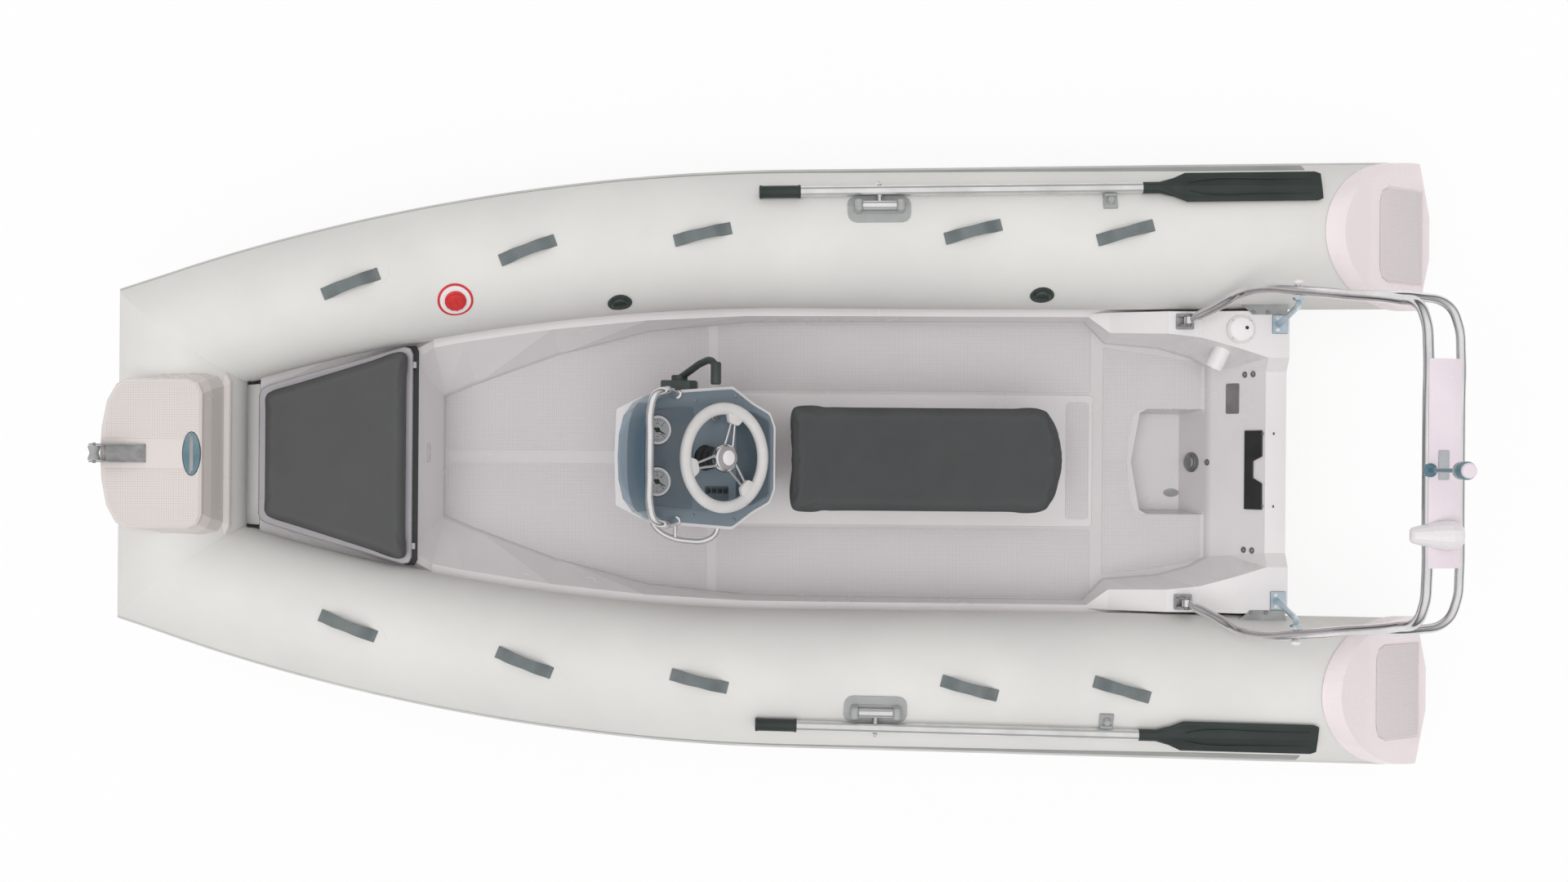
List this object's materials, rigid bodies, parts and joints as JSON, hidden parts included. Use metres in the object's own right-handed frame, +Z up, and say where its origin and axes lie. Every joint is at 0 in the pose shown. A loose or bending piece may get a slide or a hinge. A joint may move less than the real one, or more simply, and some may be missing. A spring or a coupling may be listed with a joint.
{
  "type": "rigid inflatable boat",
  "caption": "Open tender with a V hull between inflated side tubes, a steering console, a padded bench, stowed oars and a folding stern arch.",
  "frame": {"origin": "on the ground under the middle of the outer box, at the level of the keel pad", "axes": "+X to the stern, +Y to starboard, +Z up"},
  "size_m": [4.31, 2, 1.8003],
  "materials": {
    "gelcoat": "glossy moulded glass-fibre gelcoat",
    "marine_ply": "bare marine plywood",
    "tube_fabric": "matt coated boat fabric, inflated",
    "strake_rubber": "matt extruded rubber",
    "strap_rubber": "matt moulded rubber",
    "pale_rubber": "matt pale grey rubber",
    "black_plastic": "satin black plastic",
    "oar_alloy": "satin anodised tube",
    "oar_plastic": "satin dark moulded plastic",
    "stainless": "polished stainless steel",
    "vinyl": "grained dark grey vinyl over foam",
    "dash_plastic": "smooth slate plastic",
    "tinted_screen": "tinted clear acrylic",
    "wheel_plastic": "satin off-white plastic"
  },
  "bodies": {
    "boat": {"arch_foot_port": "stainless", "arch_foot_starboard": "stainless", "arch_strut_port": "stainless", "arch_strut_starboard": "stainless", "bow_roller_bracket": "stainless", "bow_step": "gelcoat", "console": "gelcoat", "console_side_rail": "stainless", "dash_panel": "dash_plastic", "deck_liner": "gelcoat", "end_cap_port": "gelcoat", "end_cap_starboard": "gelcoat", "engine_pad": "black_plastic", "grab_handle_port_1": "strap_rubber", "grab_handle_port_2": "strap_rubber", "grab_handle_port_3": "strap_rubber", "grab_handle_port_4": "strap_rubber", "grab_handle_port_5": "strap_rubber", "grab_handle_starboard_1": "strap_rubber", "grab_handle_starboard_2": "strap_rubber", "grab_handle_starboard_3": "strap_rubber", "grab_handle_starboard_4": "strap_rubber", "grab_handle_starboard_5": "strap_rubber", "helm": "black_plastic", "hull_shell": "gelcoat", "oar_clip_port": "pale_rubber", "oar_clip_starboard": "pale_rubber", "relief_valve": "pale_rubber", "rowlock_pad_port": "pale_rubber", "rowlock_pad_starboard": "pale_rubber", "rub_strake": "strake_rubber", "seat_box": "gelcoat", "throttle_box": "black_plastic", "transom_and_stringers": "marine_ply", "tube_bow": "tube_fabric", "tube_port": "tube_fabric", "tube_starboard": "tube_fabric", "valve_cap_aft": "black_plastic", "valve_cap_forward": "black_plastic", "windscreen": "tinted_screen", "windscreen_rail": "stainless"},
    "steering_wheel": {"steering_wheel": "wheel_plastic"},
    "throttle_lever": {"throttle_lever": "black_plastic"},
    "locker_lid": {"locker_lid": "gelcoat", "bow_cushion": "vinyl"},
    "seat_cushion": {"seat_cushion": "vinyl"},
    "rowlock_starboard": {"rowlock_pivot_starboard": "stainless", "oar_shaft_starboard": "oar_alloy", "oar_blade_starboard": "oar_plastic"},
    "rowlock_port": {"rowlock_pivot_port": "stainless", "oar_shaft_port": "oar_alloy", "oar_blade_port": "oar_plastic"},
    "bow_roller": {"bow_roller": "black_plastic"},
    "bow_cleat": {"bow_cleat": "stainless"},
    "arch": {"arch_hoop": "stainless", "arch_panel": "gelcoat", "nav_light": "black_plastic", "horn_pod": "gelcoat"},
    "arch_lock_knob_starboard": {"arch_lock_knob_starboard": "gelcoat"},
    "arch_lock_knob_port": {"arch_lock_knob_port": "gelcoat"}
  },
  "joints": [
    {"name": "steer", "type": "hinge", "parent": "boat", "child": "steering_wheel", "pos_m": [-0.186, 0, 0.92], "axis": [0.6428, 0, 0.766], "range_deg": [-540, 540]},
    {"name": "throttle", "type": "hinge", "parent": "boat", "child": "throttle_lever", "pos_m": [-0.335, 0.245, 0.8], "axis": [0, -1, 0], "range_deg": [-30, 80]},
    {"name": "locker_lid_hinge", "type": "hinge", "parent": "boat", "child": "locker_lid", "pos_m": [-1.2075, 0, 0.6403], "axis": [0, 1, 0], "range_deg": [0, 95]},
    {"name": "seat_hinge", "type": "hinge", "parent": "boat", "child": "seat_cushion", "pos_m": [0.463, -0.181, 0.6003], "axis": [1, 0, 0], "range_deg": [0, 80]},
    {"name": "rowlock_starboard_turn", "type": "hinge", "parent": "boat", "child": "rowlock_starboard", "pos_m": [0.3009, 0.81578, 0.7474], "axis": [0.9994, 0.0139, -0.0302], "range_deg": [0, 40]},
    {"name": "rowlock_port_turn", "type": "hinge", "parent": "boat", "child": "rowlock_port", "pos_m": [0.3009, -0.81578, 0.7474], "axis": [-0.9994, 0.0139, 0.0302], "range_deg": [0, 40]},
    {"name": "roller_spin", "type": "hinge", "parent": "boat", "child": "bow_roller", "pos_m": [-2.136, 0, 0.999], "axis": [0, 1, 0], "continuous": true},
    {"name": "cleat_lift", "type": "slide", "parent": "boat", "child": "bow_cleat", "axis": [0, 0, 1], "range_m": [0, 0.045]},
    {"name": "arch_fold", "type": "hinge", "parent": "boat", "child": "arch", "pos_m": [1.324, 0, 0.6], "axis": [0, -1, 0], "range_deg": [0, 92]},
    {"name": "lock_starboard", "type": "slide", "parent": "arch", "child": "arch_lock_knob_starboard", "axis": [0, 1, 0], "range_m": [0, 0.018], "stiffness_N_per_m": 200, "springref_m": -0.005},
    {"name": "lock_port", "type": "slide", "parent": "arch", "child": "arch_lock_knob_port", "axis": [0, -1, 0], "range_m": [0, 0.018], "stiffness_N_per_m": 200, "springref_m": -0.005}
  ]
}
